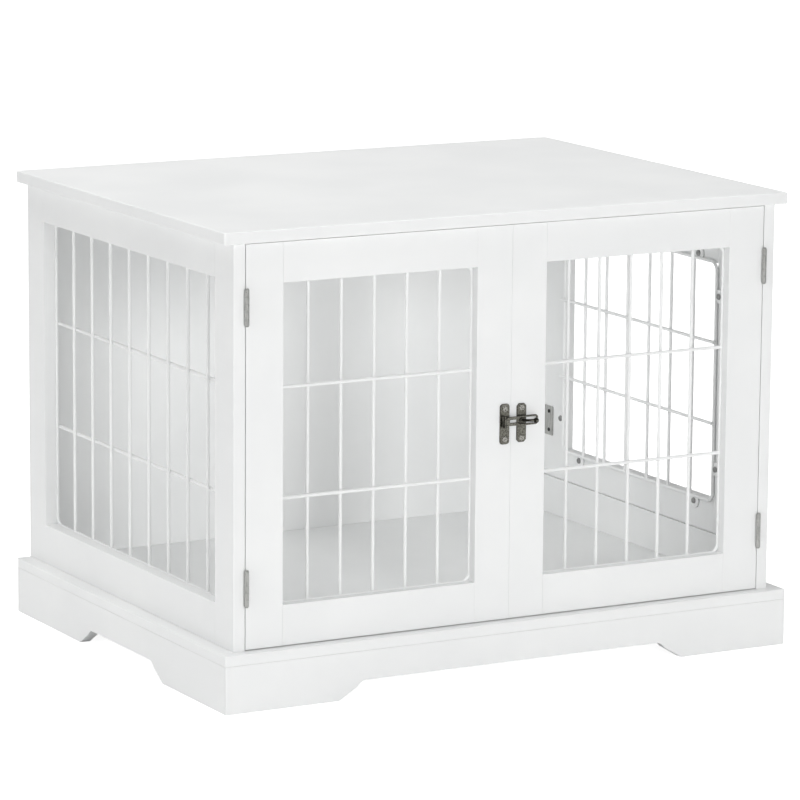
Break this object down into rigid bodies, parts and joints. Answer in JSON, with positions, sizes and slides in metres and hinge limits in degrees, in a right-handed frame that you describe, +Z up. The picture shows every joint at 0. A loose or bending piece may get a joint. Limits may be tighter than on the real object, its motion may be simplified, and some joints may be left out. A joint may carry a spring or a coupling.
{
  "type": "dog crate end table",
  "caption": "White crate table: flat board top, solid back, framed sides and doors with welded wire grilles, swing-bar latches, plinth with bracket feet",
  "frame": {"origin": "middle of the floor footprint: centred on the whole width and depth, on the floor", "axes": "+X to the right when facing the front doors, +Y from the front doors to the back, +Z up"},
  "size_m": [0.806, 0.617, 0.5881],
  "materials": {
    "white_board": "white painted board, satin",
    "white_wire": "white powder coat on welded steel wire",
    "hinge_nickel": "grey nickel plate, satin",
    "latch_metal": "dark antique nickel, slightly olive"
  },
  "bodies": {
    "carcass": {"front_skirt": "white_board", "left_bottom_rail": "white_board", "left_door_lower_hinge_frame_leaf": "hinge_nickel", "left_door_lower_hinge_pin": "hinge_nickel", "left_door_upper_hinge_frame_leaf": "hinge_nickel", "left_door_upper_hinge_pin": "hinge_nickel", "left_front_stile": "white_board", "left_grille": "white_wire", "left_rear_stile": "white_board", "left_skirt": "white_board", "left_top_rail": "white_board", "plinth_board": "white_board", "plinth_corner_block_front_left": "white_board", "plinth_corner_block_front_right": "white_board", "plinth_corner_block_rear_left": "white_board", "plinth_corner_block_rear_right": "white_board", "rear_panel": "white_board", "rear_skirt": "white_board", "right_bottom_rail": "white_board", "right_door_lower_hinge_frame_leaf": "hinge_nickel", "right_door_lower_hinge_pin": "hinge_nickel", "right_door_upper_hinge_frame_leaf": "hinge_nickel", "right_door_upper_hinge_pin": "hinge_nickel", "right_front_stile": "white_board", "right_rear_stile": "white_board", "right_skirt": "white_board", "right_top_rail": "white_board", "side_door_lower_hinge_frame_leaf": "hinge_nickel", "side_door_lower_hinge_pin": "hinge_nickel", "side_door_upper_hinge_frame_leaf": "hinge_nickel", "side_door_upper_hinge_pin": "hinge_nickel", "side_latch_bar_plate": "latch_metal", "table_top": "white_board"},
    "left_door": {"front_latch_bar_plate": "latch_metal", "left_door_bottom_rail": "white_board", "left_door_grille": "white_wire", "left_door_hinge_stile": "white_board", "left_door_latch_stile": "white_board", "left_door_lower_hinge_door_leaf": "hinge_nickel", "left_door_top_rail": "white_board", "left_door_upper_hinge_door_leaf": "hinge_nickel"},
    "right_door": {"front_latch_ball_post": "latch_metal", "right_door_bottom_rail": "white_board", "right_door_grille": "white_wire", "right_door_hinge_stile": "white_board", "right_door_latch_stile": "white_board", "right_door_lower_hinge_door_leaf": "hinge_nickel", "right_door_top_rail": "white_board", "right_door_upper_hinge_door_leaf": "hinge_nickel"},
    "side_door": {"side_door_bottom_rail": "white_board", "side_door_grille": "white_wire", "side_door_hinge_stile": "white_board", "side_door_latch_stile": "white_board", "side_door_lower_hinge_door_leaf": "hinge_nickel", "side_door_top_rail": "white_board", "side_door_upper_hinge_door_leaf": "hinge_nickel", "side_latch_ball_post": "latch_metal"},
    "front_latch_bar": {"front_latch_swing_bar": "latch_metal"},
    "side_latch_bar": {"side_latch_swing_bar": "latch_metal"}
  },
  "joints": [
    {"name": "left_door_hinge", "type": "hinge", "parent": "carcass", "child": "left_door", "pos_m": [-0.368, -0.2957, 0.32325], "axis": [0, 0, -1], "range_deg": [0, 170]},
    {"name": "right_door_hinge", "type": "hinge", "parent": "carcass", "child": "right_door", "pos_m": [0.368, -0.2957, 0.32325], "axis": [0, 0, 1], "range_deg": [0, 170]},
    {"name": "side_door_hinge", "type": "hinge", "parent": "carcass", "child": "side_door", "pos_m": [0.3877, 0.2557, 0.3255], "axis": [0, 0, 1], "range_deg": [0, 170]},
    {"name": "front_latch_swing", "type": "hinge", "parent": "left_door", "child": "front_latch_bar", "pos_m": [-0.0115, -0.2972, 0.326], "axis": [0, 0, -1], "range_deg": [0, 170]},
    {"name": "side_latch_swing", "type": "hinge", "parent": "carcass", "child": "side_latch_bar", "pos_m": [0.3892, -0.2531, 0.329], "axis": [0, 0, -1], "range_deg": [0, 170]}
  ]
}
